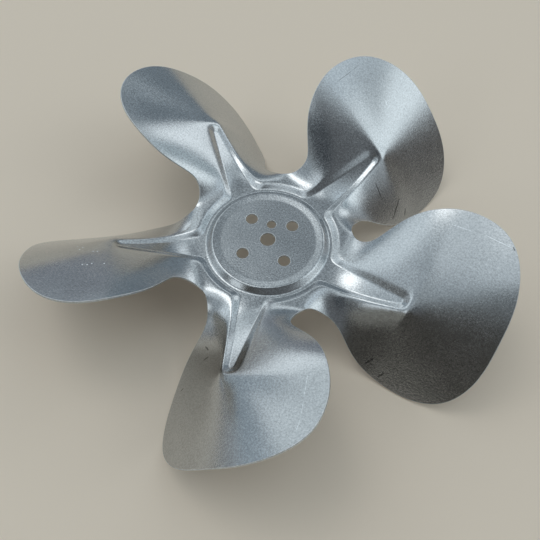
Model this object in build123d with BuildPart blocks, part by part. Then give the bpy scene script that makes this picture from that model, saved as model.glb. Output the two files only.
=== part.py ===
from build123d import *
import os
from math import atan, cos, radians, sin, tan, tanh

# Evaporator fan blade: one sheet of aluminium, blanked and formed in a press.
# The hub's upper face is Z = 0, its bore runs along Z, and the first rib points along +X.
# Millimetres and degrees.

# Sheet
SHEET = 1.0
BLADES = 5

# Hub disc, raised above the floor of the star and ringed by a low bead
DISC_RADIUS = 21.4
DISC_HEIGHT = 1.7
BEAD_WIDTH = 5.0
BEAD_HEIGHT = 0.4

# Holes in the hub disc
BORE = 6.5
BOLT_HOLE = 5.2
BOLT_CIRCLE = 25.4
BOLT_ANGLE = 63.9
PIN_HOLE = 4.0
PIN_CIRCLE = 15.8

# Star-shaped pocket: a ring round the disc that runs out into one tapering rib per blade
POCKET_RADIUS = 27.8
POCKET_DEPTH = 1.4
WALL_RUN = 2.6
RIB_ROOT_HALF = 5.0
RIB_TIP_HALF = 1.0
RIB_FLOOR_END = 62.5
RIB_END = 66.0
RIB_TRACE = 0.1
RIB_SLOPE = 3.4
RIB_CURVE_RADIUS = 135.0
RIB_TWIST = 0.6

# Blades: each one leaves a side of the flat pentagon round the pocket and twists to its full pitch
HUB_APOTHEM = 30.0
PITCH = 45.0
CAMBER_RADIUS = 42.4
AXIS_RISE = 6.1
TWIST_EASE = 3.0
TWIST_LENGTH = 18.0
CREST_FADE = 22.0

# Blank outline of one blade, seen from above with its rib along +X, from one round notch to the next
NOTCH_BOTTOM_RADIUS = 36.6
NOTCH_ANGLE = 37.8
LEAD_EDGE = [(34, 18.4), (38.9, 18.2), (42.3, 21.3), (49.1, 29.1), (60, 35.2), (73.8, 37.6), (86.5, 34)]
LEAD_CORNER = (95.2, 24.8)
TIP_RADIUS = 101.6
TIP_LEAD = 10.0
TIP_TRAIL = -13.2
TIP_EDGE_RADIUS = 60.0
TRAIL_CORNER = (95.0, -19.6)
TRAIL_EDGE = [(84, -23.6), (68.4, -24), (52, -20.8), (45.4, -17.8), (40.6, -16.6), (36.2, -17.2)]

# Heights and widths that follow from the sizes above
FLOOR_Z = -DISC_HEIGHT
CREST_Z = FLOOR_Z + POCKET_DEPTH
SIDE_HALF = HUB_APOTHEM * tan(radians(180 / BLADES))
SPAN_MARGIN = 2.0
LEAD_SPAN = max(y for x, y in LEAD_EDGE) + SPAN_MARGIN
TRAIL_SPAN = -min(y for x, y in TRAIL_EDGE) + SPAN_MARGIN
SPREAD_LENGTH = 16.0


def twist(x):
    """Share of the full pitch reached at x along the rib: 0 at the hub's side, 1 far out."""
    run = x - HUB_APOTHEM
    return tanh(run * run / (run + TWIST_EASE) / TWIST_LENGTH)


def blade_height(x, y):
    """Height of the plain cambered blade at x along the rib and y across it."""
    camber = y * tan(radians(PITCH)) - y * y / (2 * CAMBER_RADIUS)
    return CREST_Z + AXIS_RISE * twist(x) ** 1.6 + twist(x) * camber


def blade_slope(x, y):
    """Slope across the plain blade."""
    return twist(x) * (tan(radians(PITCH)) - y / CAMBER_RADIUS)


def rib_crest(x, y):
    """Height of the pocket's crest: level at the hub, curving up and twisting along the rib."""
    run = x - HUB_APOTHEM
    rise = run * tan(radians(RIB_SLOPE)) + run * run / (2 * RIB_CURVE_RADIUS)
    return CREST_Z + rise + RIB_TWIST * blade_slope(x, 0) * y


def crest_left(x):
    """Share of the crest that is left past the rib's end."""
    return max(0.0, 1 - (x - RIB_END) / CREST_FADE) ** 2


def crest_height(x, y):
    """Height of the crest, which past the rib's end dies away into the plain blade."""
    if x <= RIB_END:
        return rib_crest(x, y)
    return blade_height(x, y) + crest_left(x) * (rib_crest(RIB_END, y) - blade_height(RIB_END, y))


def rib_depth(x):
    """Depth of the rib's floor under the crest: full along the rib, then run out, a trace beyond."""
    if x > RIB_END:
        return RIB_TRACE * crest_left(x)
    share = max(0.0, (x - RIB_FLOOR_END) / (RIB_END - RIB_FLOOR_END))
    return POCKET_DEPTH + share * (RIB_TRACE - POCKET_DEPTH)


def rib_half(x):
    """Half the width of the rib's floor, which tapers from the hub's side to the tip."""
    share = min(1.0, (x - HUB_APOTHEM) / (RIB_FLOOR_END - HUB_APOTHEM))
    return RIB_ROOT_HALF + share * (RIB_TIP_HALF - RIB_ROOT_HALF)


def span(x, full):
    """Half-width of the formed sheet before blanking, from the pentagon's side to the full blade."""
    return SIDE_HALF + min(1.0, (x - HUB_APOTHEM) / SPREAD_LENGTH) * (full - SIDE_HALF)


def panel_middle(x, crest_y, far_y):
    """Middle point of a blade panel between the pocket's crest and the far side."""
    y = (crest_y + far_y) / 2
    bulge = twist(x) * ((far_y - crest_y) / 2) ** 2 / (2 * CAMBER_RADIUS)
    return y, (crest_height(x, crest_y) + blade_height(x, far_y)) / 2 + bulge


def upper_points(x):
    """Corners and middles of the section's upper side at x, from the trailing to the leading side."""
    foot = rib_half(x)
    crest = foot + WALL_RUN
    depth = rib_depth(x)
    trail = -span(x, TRAIL_SPAN)
    lead = span(x, LEAD_SPAN)
    wall = (foot + crest) / 2
    return [
        (trail, blade_height(x, trail)),
        panel_middle(x, -crest, trail),
        (-crest, crest_height(x, -crest)),
        (-wall, crest_height(x, -wall) - depth / 2),
        (-foot, crest_height(x, -foot) - depth),
        (0.0, crest_height(x, 0.0) - depth),
        (foot, crest_height(x, foot) - depth),
        (wall, crest_height(x, wall) - depth / 2),
        (crest, crest_height(x, crest)),
        panel_middle(x, crest, lead),
        (lead, blade_height(x, lead)),
    ]


def lower_point(x, point):
    """Point one sheet below a point of the upper side, square to the sheet."""
    y, z = point
    tilt = atan(blade_slope(x, y))
    return y + SHEET * sin(tilt), z - SHEET * cos(tilt)


def curve_through(points):
    """Chain of curves through corner, middle, corner, middle and so on."""
    for start in range(0, len(points) - 2, 2):
        Spline(*points[start : start + 3])


def section(x):
    """Cross-section of the formed sheet at x along the rib."""
    upper = upper_points(x)
    lower = [lower_point(x, point) for point in upper]
    with BuildSketch(Plane((x, 0, 0), x_dir=(0, 1, 0), z_dir=(1, 0, 0))) as sketch:
        with BuildLine():
            curve_through(upper)
            Line(upper[-1], lower[-1])
            curve_through(lower)
            Line(lower[0], upper[0])
        make_face()
    return sketch.sketch.face()


def sections(first, last, count):
    """Evenly spaced cross-sections, both ends included."""
    return [section(first + (last - first) * i / (count - 1)) for i in range(count)]


def hub_form(drop):
    """Solid under the hub's surface, lowered by drop: a pentagon with the star pocket sunk in it."""
    floor = FLOOR_Z - drop
    profile_plane = Plane((0, 0, floor), x_dir=(1, 0, 0), z_dir=(0, -1, 0))
    with BuildPart() as form:
        with BuildSketch(Plane.XY.offset(CREST_Z - drop)):
            RegularPolygon(HUB_APOTHEM, BLADES, major_radius=False, rotation=180 / BLADES)
        extrude(amount=-POCKET_DEPTH - SHEET)
        with BuildSketch(profile_plane):
            Polygon(
                (0, 0),
                (POCKET_RADIUS, 0),
                (POCKET_RADIUS + WALL_RUN, POCKET_DEPTH),
                (0, POCKET_DEPTH),
                align=None,
            )
        revolve(axis=Axis.Z, mode=Mode.SUBTRACT)
        for i in range(BLADES):
            with BuildSketch(Plane.YZ.rotated((0, 0, i * 360 / BLADES))):
                with Locations((0, floor)):
                    Polygon(
                        (-RIB_ROOT_HALF, 0),
                        (RIB_ROOT_HALF, 0),
                        (RIB_ROOT_HALF + WALL_RUN, POCKET_DEPTH),
                        (-RIB_ROOT_HALF - WALL_RUN, POCKET_DEPTH),
                        align=None,
                    )
        extrude(amount=HUB_APOTHEM + SPAN_MARGIN, mode=Mode.SUBTRACT)
        with BuildSketch(profile_plane):
            Polygon(
                (0, 0),
                (DISC_RADIUS + BEAD_WIDTH, 0),
                (DISC_RADIUS + BEAD_WIDTH / 2, DISC_HEIGHT + BEAD_HEIGHT),
                (DISC_RADIUS, DISC_HEIGHT),
                (0, DISC_HEIGHT),
                align=None,
            )
        revolve(axis=Axis.Z)
    return form.part


TIP_EDGE = [(TIP_RADIUS - y * y / (2 * TIP_EDGE_RADIUS), y) for y in (TIP_LEAD, 0.0, TIP_TRAIL)]

# Blank of one blade with its slice of the hub
with BuildSketch() as petal:
    with BuildLine():
        lead_notch = Vector(NOTCH_BOTTOM_RADIUS, 0).rotate(Axis.Z, NOTCH_ANGLE)
        trail_notch = Vector(NOTCH_BOTTOM_RADIUS, 0).rotate(Axis.Z, NOTCH_ANGLE - 360 / BLADES)
        Spline(
            lead_notch,
            *LEAD_EDGE,
            LEAD_CORNER,
            *TIP_EDGE,
            TRAIL_CORNER,
            *TRAIL_EDGE,
            trail_notch,
            tangents=(lead_notch.rotate(Axis.Z, -90), trail_notch.rotate(Axis.Z, -90)),
            tangent_scalars=(1, 1),
        )
        Polyline(trail_notch, (0, 0), lead_notch)
    make_face()

# One blade: the formed sheet lofted along the rib, over its end and out to the tip, then trimmed
with BuildPart() as blade:
    loft(sections(HUB_APOTHEM, RIB_FLOOR_END, 6))
    loft(sections(RIB_FLOOR_END, RIB_END, 2))
    loft(sections(RIB_END, TIP_RADIUS + SPAN_MARGIN, 4))
    extrude(petal.sketch, amount=TIP_RADIUS, both=True, mode=Mode.INTERSECT)

# The whole fan: the hub with its corners trimmed, the blades on its sides, and the holes
with BuildPart() as fan_blade:
    add(hub_form(0))
    add(hub_form(SHEET), mode=Mode.SUBTRACT)
    with BuildSketch():
        with PolarLocations(0, BLADES):
            add(petal.sketch)
    extrude(amount=TIP_RADIUS, both=True, mode=Mode.INTERSECT)
    with PolarLocations(0, BLADES):
        add(blade.part)
    with BuildSketch():
        Circle(BORE / 2)
        with PolarLocations(BOLT_CIRCLE / 2, 4, start_angle=BOLT_ANGLE):
            Circle(BOLT_HOLE / 2)
        with PolarLocations(PIN_CIRCLE / 2, 1, start_angle=BOLT_ANGLE + 45):
            Circle(PIN_HOLE / 2)
    extrude(amount=TIP_RADIUS, both=True, mode=Mode.SUBTRACT)

fan_blade.part.label = "fan_blade"
os.makedirs("parts", exist_ok=True)
export_step(fan_blade.part, "parts/fan_blade.step")
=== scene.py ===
import math
import bpy
import numpy as np
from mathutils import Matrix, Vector, geometry


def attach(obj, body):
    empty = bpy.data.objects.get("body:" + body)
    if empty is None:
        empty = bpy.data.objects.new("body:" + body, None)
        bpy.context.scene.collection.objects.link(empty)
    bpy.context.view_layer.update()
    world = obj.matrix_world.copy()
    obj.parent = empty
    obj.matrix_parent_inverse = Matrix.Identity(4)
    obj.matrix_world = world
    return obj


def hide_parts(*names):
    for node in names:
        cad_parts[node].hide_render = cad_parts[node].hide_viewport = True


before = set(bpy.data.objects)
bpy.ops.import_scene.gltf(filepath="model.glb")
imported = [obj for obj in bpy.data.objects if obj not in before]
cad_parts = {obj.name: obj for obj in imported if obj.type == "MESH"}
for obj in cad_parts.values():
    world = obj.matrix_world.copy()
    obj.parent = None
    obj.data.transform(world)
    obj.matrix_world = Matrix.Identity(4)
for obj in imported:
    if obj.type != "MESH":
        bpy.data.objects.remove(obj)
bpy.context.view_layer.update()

# Sizes of the fan in millimetres and degrees, the same as in the part's source
SHEET = 1.0
BLADES = 5
DISC_RADIUS = 21.4
DISC_HEIGHT = 1.7
BEAD_WIDTH = 5.0
BEAD_HEIGHT = 0.4
BORE = 6.5
BOLTS = 4
BOLT_HOLE = 5.2
BOLT_CIRCLE = 25.4
BOLT_ANGLE = 63.9
PIN_HOLE = 4.0
PIN_CIRCLE = 15.8
POCKET_RADIUS = 27.8
POCKET_DEPTH = 1.4
WALL_RUN = 2.6
RIB_ROOT_HALF = 5.0
RIB_TIP_HALF = 1.0
RIB_FLOOR_END = 62.5
RIB_END = 66.0
RIB_SLOPE = 3.4
RIB_CURVE_RADIUS = 135.0
RIB_TWIST = 0.6
HUB_APOTHEM = 30.0
PITCH = 45.0
CAMBER_RADIUS = 42.4
AXIS_RISE = 6.1
RISE_POWER = 1.6
TWIST_EASE = 3.0
TWIST_LENGTH = 18.0
CREST_FADE = 22.0
NOTCH_BOTTOM_RADIUS = 36.6
NOTCH_ANGLE = 37.8
LEAD_EDGE = [(34, 18.4), (38.9, 18.2), (42.3, 21.3), (49.1, 29.1), (60, 35.2), (73.8, 37.6), (86.5, 34)]
LEAD_CORNER = (95.2, 24.8)
TIP_RADIUS = 101.6
TIP_LEAD = 10.0
TIP_TRAIL = -13.2
TIP_EDGE_RADIUS = 60.0
TRAIL_CORNER = (95.0, -19.6)
TRAIL_EDGE = [(84, -23.6), (68.4, -24), (52, -20.8), (45.4, -17.8), (40.6, -16.6), (36.2, -17.2)]
SPAN_MARGIN = 2.0
SPREAD_LENGTH = 16.0

# Values that follow from the sizes above
FLOOR_Z = -DISC_HEIGHT
CREST_Z = FLOOR_Z + POCKET_DEPTH
SIDE_HALF = HUB_APOTHEM * math.tan(math.radians(180 / BLADES))
LEAD_SPAN = max(y for x, y in LEAD_EDGE) + SPAN_MARGIN
TRAIL_SPAN = -min(y for x, y in TRAIL_EDGE) + SPAN_MARGIN
BLADE_TURN = 360 / BLADES
MILLIMETRES = 1000      # in a metre

# How the press leaves the sheet
EDGE_ROUND = 0.22       # rounding of the sheared edge
CREASE_ROUND = 0.5      # radius over which the press tool rounds every crease
UNDER_ROUND = 1.3       # the same on the underside, where the sheet wraps round the tool
ROUND_START = 1.0       # distance outside the star's floor where that radius begins to grow
ROUND_GROWTH = 0.45     # how much it grows with each millimetre farther out
ROUND_MOST = 5.0        # the radius on the open blade
WALL_ROUND = 0.2        # rounding of the corners of the pocket's wall
STAR_CORNER = 3.4       # rounding of the inner corners of the star
BEND_ROUND = 4.0        # half the length over which the sheet bends from the hub into a blade
NOTCH_BLEND = 14.0      # degrees beside a notch over which two blades run into each other
NOTCH_FADE = 8.0        # distance past the notch's bottom over which that ends
NOTCH_FADE_ROUND = 1.0  # rounding of both ends of that distance
PLAIN_SHARE_IN = 0.5    # how far the blades follow the part's own law and not a tight sheet, beside the rib
PLAIN_SHARE_OUT = 0.2   # the same past the rib's end
PLAIN_FADE_START = 50.0  # where the first share begins to turn into the second
PLAIN_FADE_RUN = 25.0   # the length over which it does
BEAD_START = 20.6       # where the disc begins to rise into its bead
PLAIN_RADIUS = 19.2     # inside this the hub disc is flat

# Averaging that rounds the creases: rings as shares of the radius with their numbers of points
AVERAGE_RINGS = ((0.35, 6), (0.7, 10), (1.0, 14))
RING_WEIGHT = 6.0       # weight of the rings against the middle point
RING_FALL = 1.15        # the nearer to 1, the less the outer ring weighs
SLOPE_STEP = 0.04       # step over which slopes are measured

# Fineness of the mesh
CURVE_SAMPLES = 6000    # points along the blade's edge before they are spaced evenly
EDGE_TABLE_STEP = 0.05  # spacing of the edge for looking up places on it
OUTLINE_STEP = 0.7      # spacing of the edge in the mesh
EDGE_ROWS = 4           # rows of points round each corner of the sheared edge
ARC_STEPS = 44          # steps round the flat disc for each blade
SEAM_POINTS = 24        # points along the seam between two blades, with both ends
HOLE_STEPS = 64         # steps round a hole
BLADE_SPACING = 0.45    # spacing of points at the creases, twice and four times that elsewhere
BLADE_GRID = (15, -40), (170, 40)  # corners of a slanted grid that covers one blade
FINE_FROM = -1.0        # fine between these distances outside the star's floor
FINE_TO = 3.8
FINE_BEAD_END = 27.2    # fine from the bead's start to this radius
COARSE_START = 72       # coarse beyond this distance along the rib
BORDER_GAP = 0.5        # least distance from the border to the points inside it
DISC_SPACING = 1.6      # spacing of points on the flat disc
DISC_GRID = (-70, -20), (70, 20)  # corners of a slanted grid that covers the disc
DISC_GAP = 0.8          # least distance from the disc's border to the points inside it
HOLE_GAP = 0.9          # least distance from a hole
MERGE_DISTANCE = 1e-7   # points closer than this are one point
HOLE_SLACK = 1e-3       # keeps the faces at a hole's border from counting as inside it


def turn(points, degrees):
    """Points turned about Z; columns past the second are kept."""
    c, s = math.cos(math.radians(degrees)), math.sin(math.radians(degrees))
    out = np.array(points, float)
    x, y = out[:, 0].copy(), out[:, 1].copy()
    out[:, 0], out[:, 1] = c * x - s * y, s * x + c * y
    return out


def hinge(t, soft):
    """0 below 0 and t above it, with the corner rounded."""
    return np.where(t <= -soft, 0.0, np.where(t >= soft, t, (t + soft) ** 2 / (4 * soft)))


def ramp(d, run, soft):
    """0 below 0, 1 above run, straight between, with both corners rounded."""
    return (hinge(d, soft) - hinge(d - run, soft)) / run


def twist(x):
    """Share of the full pitch reached at x along the rib."""
    run = hinge(x - HUB_APOTHEM, BEND_ROUND)
    return np.tanh(run * run / (run + TWIST_EASE) / TWIST_LENGTH)


def blade_height(x, y):
    """Height of the plain cambered blade at x along the rib and y across it."""
    camber = y * math.tan(math.radians(PITCH)) - y * y / (2 * CAMBER_RADIUS)
    return CREST_Z + AXIS_RISE * twist(x) ** RISE_POWER + twist(x) * camber


def rib_crest(x, y):
    """Height of the pocket's crest: level at the hub, curving up and twisting along the rib."""
    run = hinge(x - HUB_APOTHEM, BEND_ROUND)
    rise = run * math.tan(math.radians(RIB_SLOPE)) + run * run / (2 * RIB_CURVE_RADIUS)
    return CREST_Z + rise + RIB_TWIST * twist(x) * math.tan(math.radians(PITCH)) * y


def crest_height(x, y):
    """Height of the crest, which past the rib's end dies away into the plain blade."""
    left = np.clip(1 - (x - RIB_END) / CREST_FADE, 0.0, 1.0) ** 2
    end = np.full_like(x, RIB_END)
    past = blade_height(x, y) + left * (rib_crest(end, y) - blade_height(end, y))
    return np.where(x <= RIB_END, rib_crest(x, y), past)


def rib_half(x):
    """Half the width of the rib's floor, which tapers from the hub's side to the tip."""
    share = np.clip((x - HUB_APOTHEM) / (RIB_FLOOR_END - HUB_APOTHEM), 0.0, 1.0)
    return RIB_ROOT_HALF + share * (RIB_TIP_HALF - RIB_ROOT_HALF)


def span(x, full):
    """Half-width of the formed sheet before blanking."""
    return SIDE_HALF + np.clip((x - HUB_APOTHEM) / SPREAD_LENGTH, 0.0, 1.0) * (full - SIDE_HALF)


def panel(x, y):
    """Height of the sheet beside the rib: a cambered strip from the pocket's crest to the far side."""
    side = np.where(y >= 0, 1.0, -1.0)
    near = side * (rib_half(x) + WALL_RUN)
    far = np.where(y >= 0, span(x, LEAD_SPAN), -span(x, TRAIL_SPAN))
    share = (y - near) / (far - near)
    line = crest_height(x, near) * (1 - share) + blade_height(x, far) * share
    middle, half = (near + far) / 2, (far - near) / 2
    return line + twist(x) / (2 * CAMBER_RADIUS) * (half * half - (y - middle) ** 2)


def star_distance(x, y):
    """Distance outside the star-shaped floor, with the inner corners of the star rounded."""
    ring = np.hypot(x, y) - POCKET_RADIUS
    tip = RIB_FLOOR_END - RIB_TIP_HALF
    rib = np.where(x < tip, np.abs(y) - rib_half(x), np.hypot(x - tip, y) - RIB_TIP_HALF)
    h = np.clip(STAR_CORNER - np.abs(ring - rib), 0.0, None) / STAR_CORNER
    return np.minimum(ring, rib) - h * h * STAR_CORNER / 4


def plain_sheet(x, y):
    """The sheet as formed by the part's own law, without the pocket."""
    inside = np.abs(y) <= rib_half(x) + WALL_RUN
    return np.where(inside, crest_height(x, y), panel(x, y))


def drawn_sheet(x, y):
    """The sheet drawn tight: straight from the crest to the edge, fanning out from the rib's end."""
    near = np.where(y >= 0, 1.0, -1.0) * (rib_half(x) + WALL_RUN)
    far = np.where(y >= 0, np.interp(x, *LEAD_SIDE), np.interp(x, *TRAIL_SIDE))
    crest = crest_height(x, near)
    straight = crest + (y - near) / (far - near) * (blade_height(x, far) - crest)
    angle = np.arctan2(y, x - RIB_END)
    reach = np.hypot(x - RIB_END, y)
    ring = RIB_TIP_HALF + WALL_RUN
    ring_z = rib_crest(np.full_like(x, RIB_END), np.minimum(reach, ring) * np.sin(angle))
    share = np.maximum(reach - ring, 0.0) / (np.interp(angle, FAN[:, 0], FAN[:, 1]) - ring)
    fan = ring_z + share * (np.interp(angle, FAN[:, 0], FAN[:, 2]) - ring_z)
    return np.where(x <= RIB_END, straight, fan)


def blade_base(x, y):
    """The sheet of one blade without the pocket, in its own frame."""
    inside = (np.abs(y) <= rib_half(x) + WALL_RUN) & (x <= RIB_END)
    share = np.clip((x - PLAIN_FADE_START) / PLAIN_FADE_RUN, 0.0, 1.0)
    keep = PLAIN_SHARE_IN + (PLAIN_SHARE_OUT - PLAIN_SHARE_IN) * share * share * (3 - 2 * share)
    return np.where(inside, crest_height(x, y), keep * plain_sheet(x, y) + (1 - keep) * drawn_sheet(x, y))


def joined_base(x, y):
    """The sheet without the pocket, each blade running smoothly into the next round their notch."""
    angle = np.degrees(np.arctan2(y, x))
    own = blade_base(x, y)
    total = own
    near = 1 - ramp(np.hypot(x, y) - NOTCH_BOTTOM_RADIUS, NOTCH_FADE, NOTCH_FADE_ROUND)
    for gap, back in ((NOTCH_ANGLE - angle, -BLADE_TURN), (angle - NOTCH_ANGLE + BLADE_TURN, BLADE_TURN)):
        t = np.clip(gap / NOTCH_BLEND, -1.0, 1.0)
        other = turn(np.column_stack((x, y)), back)
        total = total + near * (0.5 - t * (3 - t * t) / 4) * (blade_base(other[:, 0], other[:, 1]) - own)
    return total


def raw_height(x, y):
    """Upper side of the sheet with sharp creases, in one blade's own frame."""
    base = joined_base(x, y) - POCKET_DEPTH * (1 - ramp(star_distance(x, y), WALL_RUN, WALL_ROUND))
    r = np.hypot(x, y)
    foot = DISC_RADIUS + BEAD_WIDTH
    crest = DISC_RADIUS + BEAD_WIDTH / 2
    outer = (DISC_HEIGHT + BEAD_HEIGHT) * np.clip((foot - r) / (foot - crest), 0.0, 1.0)
    inner = BEAD_HEIGHT * np.clip((crest - r) / (crest - BEAD_START), 0.0, 1.0)
    return base + outer - inner


def height(x, y, least):
    """Upper side of the sheet: the sharp one averaged over a disc, which is smallest at the creases."""
    radius = np.clip(CREASE_ROUND + ROUND_GROWTH * (star_distance(x, y) - ROUND_START), least, ROUND_MOST)
    total = raw_height(x, y)
    weight = 1.0
    for part, count in AVERAGE_RINGS:
        for k in range(count):
            a = 2 * math.pi * (k + part) / count
            w = RING_WEIGHT * (RING_FALL - part * part) * part / count
            total = total + w * raw_height(x + radius * part * math.cos(a), y + radius * part * math.sin(a))
            weight += w
    return total / weight


def facing(xy, least):
    """Unit normals of the upper side over the given places."""
    x, y = xy[:, 0], xy[:, 1]
    e = SLOPE_STEP
    gx = (height(x + e, y, least) - height(x - e, y, least)) / (2 * e)
    gy = (height(x, y + e, least) - height(x, y - e, least)) / (2 * e)
    normal = np.column_stack((-gx, -gy, np.ones_like(gx)))
    return normal / np.linalg.norm(normal, axis=1)[:, None]


def surface(xy):
    """Points of the upper side over the given places, and unit normals to place both sides by."""
    points = np.column_stack((xy, height(xy[:, 0], xy[:, 1], CREASE_ROUND)))
    return points, facing(xy, CREASE_ROUND), facing(xy, UNDER_ROUND)


def spline(points, first, last, spacing):
    """Smooth curve through the points with given end directions, as evenly spaced places and directions."""
    p = np.array(points, float)
    t = np.concatenate(([0.0], np.cumsum(np.linalg.norm(np.diff(p, axis=0), axis=1))))
    n = len(p)
    h = np.diff(t)
    a = np.zeros((n, n))
    b = np.zeros((n, 2))
    a[0, 0] = a[-1, -1] = 1.0
    b[0], b[-1] = first, last
    for i in range(1, n - 1):
        a[i, i - 1], a[i, i], a[i, i + 1] = h[i], 2 * (h[i - 1] + h[i]), h[i - 1]
        b[i] = 3 * (h[i] * (p[i] - p[i - 1]) / h[i - 1] + h[i - 1] * (p[i + 1] - p[i]) / h[i])
    slope = np.linalg.solve(a, b)
    u = np.linspace(0, t[-1], CURVE_SAMPLES)
    k = np.clip(np.searchsorted(t, u, side="right") - 1, 0, n - 2)
    s = ((u - t[k]) / h[k])[:, None]
    hk = h[k][:, None]
    curve = ((1 + 2 * s) * (1 - s) ** 2 * p[k] + s * (1 - s) ** 2 * hk * slope[k]
             + s * s * (3 - 2 * s) * p[k + 1] + s * s * (s - 1) * hk * slope[k + 1])
    length = np.concatenate(([0.0], np.cumsum(np.linalg.norm(np.diff(curve, axis=0), axis=1))))
    even = np.linspace(0, length[-1], int(length[-1] / spacing) + 1)
    place = np.column_stack([np.interp(even, length, curve[:, i]) for i in (0, 1)])
    ahead = np.gradient(place, axis=0)
    ahead[0], ahead[-1] = first, last
    return place, ahead / np.linalg.norm(ahead, axis=1)[:, None]


def blade_outline(spacing):
    """Edge of one blade from notch to notch, and the direction out of the sheet along it."""
    lead = turn([(NOTCH_BOTTOM_RADIUS, 0)], NOTCH_ANGLE)[0]
    trail = turn([(NOTCH_BOTTOM_RADIUS, 0)], NOTCH_ANGLE - BLADE_TURN)[0]
    tip = [(TIP_RADIUS - y * y / (2 * TIP_EDGE_RADIUS), y) for y in (TIP_LEAD, 0.0, TIP_TRAIL)]
    points = [lead, *LEAD_EDGE, LEAD_CORNER, *tip, TRAIL_CORNER, *TRAIL_EDGE, trail]
    first = turn([lead / NOTCH_BOTTOM_RADIUS], -90)[0]
    last = turn([trail / NOTCH_BOTTOM_RADIUS], -90)[0]
    place, ahead = spline(points, first, last, spacing)
    return place, np.column_stack((-ahead[:, 1], ahead[:, 0]))


# The blade's edge: its two sides, and its bearing, distance and height seen from the rib's end.
# The edge near the hub is left out of these three, because the sheet doesn't fan out to it.
EDGE = blade_outline(EDGE_TABLE_STEP)[0]
EDGE_TIP = np.argmax(EDGE[:, 0])
LEAD_SIDE = EDGE[:EDGE_TIP].T
TRAIL_SIDE = EDGE[EDGE_TIP:][::-1].T
FAN_START = 50
FAN = np.column_stack((
    np.arctan2(EDGE[:, 1], EDGE[:, 0] - RIB_END),
    np.hypot(EDGE[:, 0] - RIB_END, EDGE[:, 1]),
    blade_height(EDGE[:, 0], EDGE[:, 1]),
))[EDGE[:, 0] > FAN_START][::-1]


def fill(loops, inner):
    """Triangles inside the first loop and outside the others, which are round, using the inner points too."""
    places = []
    edges = []
    for loop in loops:
        start = len(places)
        places += [Vector(p) for p in loop]
        edges += [(start + i, start + (i + 1) % len(loop)) for i in range(len(loop))]
    places += [Vector(p) for p in inner]
    got, _, faces, _, _, _ = geometry.delaunay_2d_cdt(places, edges, [], 1, MERGE_DISTANCE)
    xy = np.array([(p.x, p.y) for p in got])
    tri = np.array(faces)
    middle = xy[tri].mean(axis=1)
    keep = np.ones(len(tri), bool)
    for loop in loops[1:]:
        c = np.mean(loop, axis=0)
        keep &= np.hypot(*(middle - c).T) > np.hypot(*(np.array(loop[0]) - c)) - HOLE_SLACK
    return xy, tri[keep]


def lattice(low, high, pitch):
    """Triangular lattice of points, with the level each one belongs to: 0 coarse, 1 middle, 2 fine."""
    rows = np.arange(int((high[1] - low[1]) / (pitch * math.sqrt(0.75))) + 1)
    cols = np.arange(int((high[0] - low[0]) / pitch) + 1)
    i, j = np.meshgrid(cols, rows)
    i, j = i.ravel(), j.ravel()
    x = low[0] + pitch * (i + 0.5 * j) - pitch * 0.5 * rows[-1]
    y = low[1] + pitch * math.sqrt(0.75) * j
    level = np.where((i % 4 == 0) & (j % 4 == 0), 0, np.where((i % 2 == 0) & (j % 2 == 0), 1, 2))
    return np.column_stack((x, y)), level


def inside_loop(points, loop):
    """Which points lie inside a closed loop."""
    x, y = points[:, 0], points[:, 1]
    odd = np.zeros(len(points), bool)
    a = loop[-1]
    for b in loop:
        if a[1] != b[1]:
            cross = (a[1] > y) != (b[1] > y)
            odd ^= cross & (x < (b[0] - a[0]) * (y - a[1]) / (b[1] - a[1]) + a[0])
        a = b
    return odd


def away_from(points, loop, least):
    """Which points lie at least so far from every point of the loop."""
    far = np.ones(len(points), bool)
    for q in loop:
        far &= (points[:, 0] - q[0]) ** 2 + (points[:, 1] - q[1]) ** 2 > least * least
    return far


class Sheet:
    """Gathers points, normals and faces of the upper side, lower side and edges."""

    def __init__(self):
        self.points = []
        self.normals = []
        self.sheared = []
        self.faces = []

    def add(self, points, normals, sheared=0.0):
        """Adds points and gives the number of the first one."""
        start = len(self.sheared)
        self.points.append(points)
        self.normals.append(normals)
        self.sheared += [sheared] * len(points)
        return start

    def both_sides(self, points, normals, under, tri):
        """Upper side, and the lower side one sheet below it along the under-normals."""
        top = self.add(points, normals)
        low = self.add(points - SHEET * under, -under)
        self.faces += [tuple(top + v for v in t) for t in tri]
        self.faces += [tuple(low + v for v in t[::-1]) for t in tri]

    def edge(self, points, normals, out, closed):
        """Rounded sheared edge along a row of points of the upper side, out pointing away from the sheet."""
        rows = []
        for side in (1, -1):
            angles = np.linspace(0, math.pi / 2, EDGE_ROWS)
            for a in angles if side > 0 else angles[::-1]:
                centre = points - (EDGE_ROUND if side > 0 else SHEET - EDGE_ROUND) * normals
                away = side * math.cos(a) * normals + math.sin(a) * out
                rows.append(self.add(centre + EDGE_ROUND * away, away, 1.0))
        n = len(points)
        for a, b in zip(rows, rows[1:]):
            for i in range(n if closed else n - 1):
                j = (i + 1) % n
                self.faces.append((a + i, a + j, b + j, b + i))

    def mesh(self, name):
        """Everything gathered, as one smooth mesh in metres."""
        points = np.concatenate(self.points) / MILLIMETRES
        normals = np.concatenate(self.normals)
        normals /= np.linalg.norm(normals, axis=1)[:, None]
        mesh = bpy.data.meshes.new(name)
        mesh.from_pydata(points.tolist(), [], self.faces)
        mesh.polygons.foreach_set("use_smooth", [True] * len(mesh.polygons))
        mesh.normals_split_custom_set_from_vertices(normals.tolist())
        mesh.attributes.new("sheared", "FLOAT", "POINT").data.foreach_set("value", self.sheared)
        mesh.update()
        return mesh


def disc_arc():
    """Points on the border of the flat disc along one blade's slice of the hub."""
    start = NOTCH_ANGLE - BLADE_TURN
    return [turn([(PLAIN_RADIUS, 0)], start + i * BLADE_TURN / ARC_STEPS)[0] for i in range(ARC_STEPS + 1)]


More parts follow.
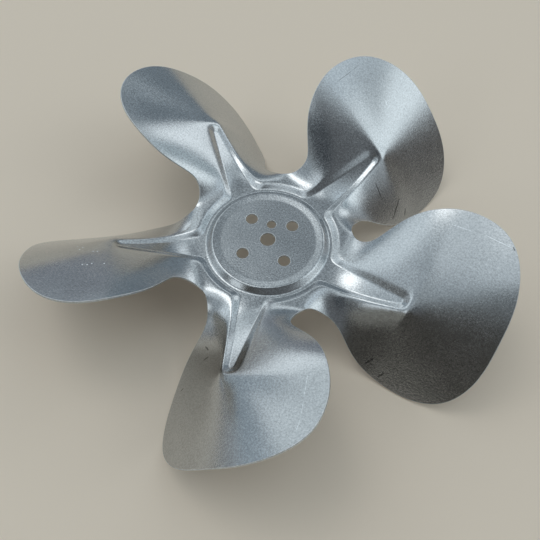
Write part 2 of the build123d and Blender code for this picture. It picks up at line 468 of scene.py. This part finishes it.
def add_blades(sheet):
    """The blades, each with its slice of the star outside the flat disc."""
    outline, outward = blade_outline(OUTLINE_STEP)
    rim = outline - EDGE_ROUND * outward
    seam = np.linspace(PLAIN_RADIUS, NOTCH_BOTTOM_RADIUS - EDGE_ROUND, SEAM_POINTS)[1:-1]
    trail_side = [turn([(r, 0)], NOTCH_ANGLE - BLADE_TURN)[0] for r in seam[::-1]]
    lead_side = [turn([(r, 0)], NOTCH_ANGLE)[0] for r in seam]
    loop = [*rim, *trail_side, *disc_arc(), *lead_side]
    grid, level = lattice(*BLADE_GRID, BLADE_SPACING)
    d = star_distance(grid[:, 0], grid[:, 1])
    r = np.hypot(grid[:, 0], grid[:, 1])
    fine = ((d > FINE_FROM) & (d < FINE_TO)) | ((r > BEAD_START) & (r < FINE_BEAD_END))
    want = np.where(fine, 2, np.where(grid[:, 0] < COARSE_START, 1, 0))
    grid = grid[level <= want]
    grid = grid[inside_loop(grid, loop)]
    grid = grid[away_from(grid, loop, BORDER_GAP)]
    xy, tri = fill([loop], grid)
    points, normals, under = surface(xy)
    edge_points, edge_normals, _ = surface(rim)
    out = np.column_stack((outward, np.zeros(len(outward))))
    out -= (out * edge_normals).sum(axis=1)[:, None] * edge_normals
    out /= np.linalg.norm(out, axis=1)[:, None]
    for k in range(BLADES):
        a = k * BLADE_TURN
        sheet.both_sides(turn(points, a), turn(normals, a), turn(under, a), tri)
        sheet.edge(turn(edge_points, a), turn(edge_normals, a), turn(out, a), closed=False)


def add_disc(sheet):
    """The flat disc with its holes."""
    border = [p for k in range(BLADES) for p in turn(disc_arc()[:-1], k * BLADE_TURN)]
    holes = [((0.0, 0.0), BORE / 2)]
    for i in range(BOLTS):
        holes.append((turn([(BOLT_CIRCLE / 2, 0)], BOLT_ANGLE + i * 360 / BOLTS)[0], BOLT_HOLE / 2))
    holes.append((turn([(PIN_CIRCLE / 2, 0)], BOLT_ANGLE + 180 / BOLTS)[0], PIN_HOLE / 2))
    spokes = np.arange(HOLE_STEPS) * 2 * math.pi / HOLE_STEPS
    away = np.column_stack((np.cos(spokes), np.sin(spokes)))
    rings = [np.array(centre) + (radius + EDGE_ROUND) * away for centre, radius in holes]
    grid, _ = lattice(*DISC_GRID, DISC_SPACING)
    grid = grid[np.hypot(grid[:, 0], grid[:, 1]) < PLAIN_RADIUS - DISC_GAP]
    for centre, radius in holes:
        grid = grid[np.hypot(grid[:, 0] - centre[0], grid[:, 1] - centre[1]) > radius + HOLE_GAP]
    xy, tri = fill([border, *rings], grid)
    up = np.array([(0.0, 0.0, 1.0)])
    normals = up.repeat(len(xy), axis=0)
    sheet.both_sides(np.column_stack((xy, np.zeros(len(xy)))), normals, normals, tri)
    level = np.zeros(HOLE_STEPS)
    inward = np.column_stack((-away, level))
    for ring in rings:
        sheet.edge(np.column_stack((ring, level)), up.repeat(HOLE_STEPS, axis=0), inward, closed=True)


sheet = Sheet()
add_blades(sheet)
add_disc(sheet)
fan = bpy.data.objects.new("fan_sheet", sheet.mesh("fan_sheet"))
bpy.context.scene.collection.objects.link(fan)
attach(fan, "root")
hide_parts("fan_blade")


def add(tree, kind, inputs, **settings):
    """New node with its settings, its linked sockets and its plain values."""
    made = tree.nodes.new(kind)
    for name, value in settings.items():
        setattr(made, name, value)
    for name, value in inputs.items():
        if isinstance(value, bpy.types.NodeSocket):
            tree.links.new(value, made.inputs[name])
        else:
            made.inputs[name].default_value = value
    return made


def ranged(tree, value, old, new, kind="LINEAR"):
    """Value carried from an old range to a new one, and held at its ends."""
    inputs = {"Value": value, "From Min": old[0], "From Max": old[1], "To Min": new[0], "To Max": new[1]}
    return add(tree, "ShaderNodeMapRange", inputs, interpolation_type=kind).outputs["Result"]


def math_node(tree, operation, *values):
    """Result of one operation on two values."""
    return add(tree, "ShaderNodeMath", dict(enumerate(values)), operation=operation).outputs[0]


def noise(tree, place, scale, detail):
    """Noise, for the most part between 0.25 and 0.75."""
    inputs = {"Vector": place, "Scale": scale, "Detail": detail, "Roughness": 0.6}
    return add(tree, "ShaderNodeTexNoise", inputs).outputs["Fac"]


def distance(tree, flat, place):
    """Distance, seen from above, to a place in metres."""
    inputs = {0: flat, 1: (*place, 0.0)}
    return add(tree, "ShaderNodeVectorMath", inputs, operation="DISTANCE").outputs["Value"]


# Marks of the press and of handling on the blades, with painted highlight and shade: blade, start and end
# along and across its rib, greatest width in millimetres, and how much lighter or darker the sheet is there.
# The press line at about 30 mm across has painted tone: highlight on four blades, shade on one
MARKS_AND_PAINTED_LINES = [
    # Press line at about 30 mm across on blade 0, painted lighter as a highlight
    (0, (65, 30.4), (74, 31), 0.3, 1.45),
    (0, (79, 31.4), (90, 30.2), 0.35, 1.5),
    (0, (89.5, 30.8), (91, 29.6), 0.5, 0.25),
    (0, (75, 4.7), (98, 12.6), 0.25, 1.15),
    (0, (59.5, -21.3), (62, -18.7), 0.8, 0.3),
    (0, (66.3, -22.7), (68.2, -20.9), 0.8, 0.3),
    # Press line on blade 1, painted darker as shade
    (1, (69, 31.7), (78, 31.8), 0.35, 0.5),
    (1, (77, 31.8), (83, 31.8), 0.3, 0.6),
    (1, (82.8, 13.7), (82, 12), 0.35, 1.5),
    (1, (57.8, -8), (57.5, -14), 0.8, 0.35),
    (1, (67, -16.5), (59, -21), 0.7, 0.35),
    (1, (68.2, -20.4), (66.3, -22.3), 0.7, 0.3),
    # Press line on blades 2, 3 and 4, painted lighter as a highlight
    (2, (68, 31), (84, 31), 0.22, 1.3),
    (3, (66, 31), (86, 30.5), 0.22, 1.3),
    (4, (65.5, 29.3), (74, 29.6), 0.3, 1.45),
    (4, (75.5, 29.7), (80, 30), 0.28, 1.4),
    (4, (81.5, 30), (87, 29.4), 0.28, 1.4),
    (4, (50.5, -14.3), (52.6, -12.3), 0.8, 0.35),
    (4, (56.7, -13.4), (55.5, -11.5), 0.8, 0.35),
    (4, (67.6, -20.9), (66.8, -19.8), 0.7, 0.35),
]

# Pale specks on one blade, where the sheet is not metal, along and across its rib
SPECK_BLADE = 3
SPECK_RADIUS = 0.45
SPECK_CORE = 0.3        # share of the radius that is all speck
SPECK_TONE = 1.7
SPECKS = [
    (79.7, 1.2), (78.1, 4.4), (77.2, 2.6), (72.2, 6.5), (70.5, 6.6), (75, 15.6), (73.1, 15.7), (71.4, 15.1),
    (66.5, 15.4),
]

# The metal: its colour and roughness, and how far the speckle, the clouds and the shearing change them
METAL_COLOUR = (0.49, 0.51, 0.525, 1)
SPECKLE_RANGE = (0.25, 0.75)
SPECKLE_TONE = (0.76, 1.24)
SPECKLE_ROUGHNESS = (0.16, 0.24)
SPECKLE_DEPTH = 0.00003
CLOUD_RANGE = (0.3, 0.7)
CLOUD_TONE = (0.95, 1.05)
CLOUD_ROUGHNESS = (-0.02, 0.02)
SHEARED_TONE = 1.3
SHEARED_ROUGHNESS = 0.3


def mark(tree, flat, blade, start, end, width, shade):
    """Factor on the colour along a lens-shaped mark, where the distances to its ends add up to little."""
    ends = turn([start, end], blade * BLADE_TURN) / MILLIMETRES
    length = math.dist(*ends)
    widest = math.hypot(length, width / MILLIMETRES)
    both = math_node(tree, "ADD", *[distance(tree, flat, place) for place in ends])
    return ranged(tree, both, (length, widest), (shade, 1.0), "SMOOTHSTEP")


def pale_speck_mask(tree, flat):
    """1 on the pale specks and 0 elsewhere."""
    limit = SPECK_RADIUS / MILLIMETRES
    mask = 0.0
    for place in turn(SPECKS, SPECK_BLADE * BLADE_TURN) / MILLIMETRES:
        away = distance(tree, flat, place)
        speck = ranged(tree, away, (SPECK_CORE * limit, limit), (1.0, 0.0), "SMOOTHSTEP")
        mask = math_node(tree, "MAXIMUM", mask, speck)
    return mask


def bare_aluminium():
    """Bare aluminium with the fine speckle of rolled sheet, duller and lighter where it was sheared."""
    metal = bpy.data.materials.new("bare_aluminium")
    metal.use_nodes = True
    tree = metal.node_tree
    shader = tree.nodes["Principled BSDF"]
    place = tree.nodes.new("ShaderNodeTexCoord").outputs["Object"]
    flat = add(tree, "ShaderNodeVectorMath", {0: place, 1: (1, 1, 0)}, operation="MULTIPLY").outputs["Vector"]
    sheared = add(tree, "ShaderNodeAttribute", {}, attribute_name="sheared").outputs["Fac"]
    speckle = noise(tree, place, scale=1500, detail=2)
    cloud = noise(tree, place, scale=60, detail=4)
    pale_specks = pale_speck_mask(tree, flat)

    tone = ranged(tree, speckle, SPECKLE_RANGE, SPECKLE_TONE)
    factors = [ranged(tree, cloud, CLOUD_RANGE, CLOUD_TONE), ranged(tree, sheared, (0, 1), (1, SHEARED_TONE))]
    # Nicks, and the press line painted as highlight on four blades and shade on one
    factors += [mark(tree, flat, *each) for each in MARKS_AND_PAINTED_LINES]
    factors += [ranged(tree, pale_specks, (0, 1), (1, SPECK_TONE))]
    for factor in factors:
        tone = math_node(tree, "MULTIPLY", tone, factor)
    colours = {"Factor": tone, "A": (0, 0, 0, 1), "B": METAL_COLOUR}
    colour = add(tree, "ShaderNodeMix", colours, data_type="RGBA", clamp_factor=False)
    tree.links.new(colour.outputs["Result"], shader.inputs["Base Color"])
    tree.links.new(math_node(tree, "SUBTRACT", 1.0, pale_specks), shader.inputs["Metallic"])

    rough = ranged(tree, speckle, SPECKLE_RANGE, SPECKLE_ROUGHNESS)
    rough = math_node(tree, "ADD", rough, ranged(tree, cloud, CLOUD_RANGE, CLOUD_ROUGHNESS))
    rough = math_node(tree, "ADD", rough, ranged(tree, sheared, (0, 1), (0, SHEARED_ROUGHNESS)))
    tree.links.new(rough, shader.inputs["Roughness"])
    bump = add(tree, "ShaderNodeBump", {"Height": speckle, "Strength": 1.0, "Distance": SPECKLE_DEPTH})
    tree.links.new(bump.outputs["Normal"], shader.inputs["Normal"])
    return metal


fan.data.materials.append(bare_aluminium())

# Floor under the lowest point of the fan
FLOOR_HALF = 3
floor_z = min(v.co.z for v in fan.data.vertices)
corners = [(x * FLOOR_HALF, y * FLOOR_HALF, floor_z) for x, y in ((-1, -1), (1, -1), (1, 1), (-1, 1))]
plane = bpy.data.meshes.new("floor")
plane.from_pydata(corners, [], [(0, 1, 2, 3)])
floor = bpy.data.objects.new("floor", plane)
bpy.context.scene.collection.objects.link(floor)
pale = bpy.data.materials.new("pale_floor")
pale.use_nodes = True
pale.node_tree.nodes["Principled BSDF"].inputs["Base Color"].default_value = (0.85, 0.73, 0.60, 1)
pale.node_tree.nodes["Principled BSDF"].inputs["Roughness"].default_value = 0.9
plane.materials.append(pale)

# Sky from the horizon up: sine of the elevation, and colour
SKY_STOPS = [
    (0.0, (0.29, 0.29, 0.28)),
    (0.14, (0.37, 0.40, 0.42)),
    (0.42, (0.56, 0.63, 0.67)),
    (0.86, (0.60, 0.68, 0.72)),
    (1.0, (0.55, 0.62, 0.66)),
]
# Bright and dim fields of the sky: azimuth, elevation, full within, gone beyond, in degrees, and colour
SKY_FIELDS = [
    (27, 40, 6, 24, (1.3, 1.43, 1.48)),
    (74, 28, 7, 15, (1.35, 1.45, 1.5)),
    (50, 40, 6, 14, (0.5, 0.6, 0.65)),
    (62, 62, 6, 15, (0.8, 0.92, 1.0)),
    (104, 17, 17, 26, (0.24, 0.29, 0.33)),
    (136, 9, 6, 14, (0.29, 0.32, 0.36)),
    (112, 42, 5, 12, (1.1, 1.2, 1.25)),
    (112, 57, 6, 14, (0.26, 0.30, 0.33)),
    (153, 21, 5, 14, (1.2, 1.3, 1.35)),
    (158, 37, 7, 13, (0.8, 0.89, 0.93)),
    (174, 19, 5, 12, (0.38, 0.46, 0.52)),
    (-88, 10, 16, 64, (0.07, 0.066, 0.058)),
    (-38, 51, 18, 36, (0.15, 0.16, 0.17)),
    (-64, 60, 9, 17, (0.07, 0.08, 0.09)),
    (25, 4, 10, 22, (0.12, 0.11, 0.10)),
    (-158, 40, 10, 24, (0.95, 1.06, 1.12)),
    (-125, 48, 9, 19, (0.42, 0.48, 0.52)),
    (-110, 31, 6, 12, (1.15, 1.25, 1.3)),
    (-105, 77, 8, 16, (0.85, 0.94, 0.99)),
    (166, 66, 8, 19, (1.15, 1.24, 1.28)),
]


def toward(azimuth, elevation):
    """Unit vector to a place in the sky, in degrees."""
    a, e = math.radians(azimuth), math.radians(elevation)
    return math.cos(e) * math.cos(a), math.cos(e) * math.sin(a), math.sin(e)


def studio_sky():
    """Soft surroundings: a pale sky that darkens to the horizon, with wide bright and dim fields."""
    world = bpy.data.worlds.new("studio")
    world.use_nodes = True
    sky = world.node_tree
    direction = sky.nodes.new("ShaderNodeTexCoord").outputs["Generated"]
    rise = add(sky, "ShaderNodeSeparateXYZ", {0: direction}).outputs["Z"]
    fade = add(sky, "ShaderNodeValToRGB", {0: rise})
    stops = fade.color_ramp.elements
    for i, (share, colour) in enumerate(SKY_STOPS):
        stop = stops[i] if i < len(stops) else stops.new(share)
        stop.position = share
        stop.color = (*colour, 1)
    light = fade.outputs["Color"]
    for azimuth, elevation, inner, outer, colour in SKY_FIELDS:
        vectors = {0: direction, 1: toward(azimuth, elevation)}
        near = add(sky, "ShaderNodeVectorMath", vectors, operation="DOT_PRODUCT").outputs["Value"]
        limits = math.cos(math.radians(outer)), math.cos(math.radians(inner))
        share = ranged(sky, near, limits, (0.0, 1.0), "SMOOTHSTEP")
        colours = {"Factor": share, "A": light, "B": (*colour, 1)}
        light = add(sky, "ShaderNodeMix", colours, data_type="RGBA").outputs["Result"]
    sky.links.new(light, sky.nodes["Background"].inputs["Color"])
    return world


bpy.context.scene.world = studio_sky()

# One large soft lamp, high up and facing the fan
KEY_DISTANCE = 1.4
KEY_AZIMUTH = 165
KEY_ELEVATION = 67
key = bpy.data.lights.new("key", "AREA")
key.shape = "DISK"
key.size = 0.5
key.energy = 0.8
key.color = (1, 0.98, 0.95)
lamp = bpy.data.objects.new("key", key)
lamp.location = KEY_DISTANCE * Vector(toward(KEY_AZIMUTH, KEY_ELEVATION))
lamp.rotation_euler = lamp.location.to_track_quat("Z", "Y").to_euler()
bpy.context.scene.collection.objects.link(lamp)

# Camera at the photograph's place
camera = bpy.data.objects.new("camera", bpy.data.cameras.new("camera"))
camera.location = (0.081944, -0.137336, 0.248378)
camera.rotation_mode = "QUATERNION"
camera.rotation_quaternion = (0.927481, 0.25253, 0.086565, 0.261753)
camera.data.sensor_width = 36
camera.data.lens = 45.906
camera.data.shift_x = 0.04855
camera.data.shift_y = -0.01545
camera.data.clip_start = 0.01
camera.data.clip_end = 20
bpy.context.scene.collection.objects.link(camera)
bpy.context.scene.camera = camera
bpy.context.scene.view_settings.view_transform = "Standard"

bpy.context.view_layer.update()
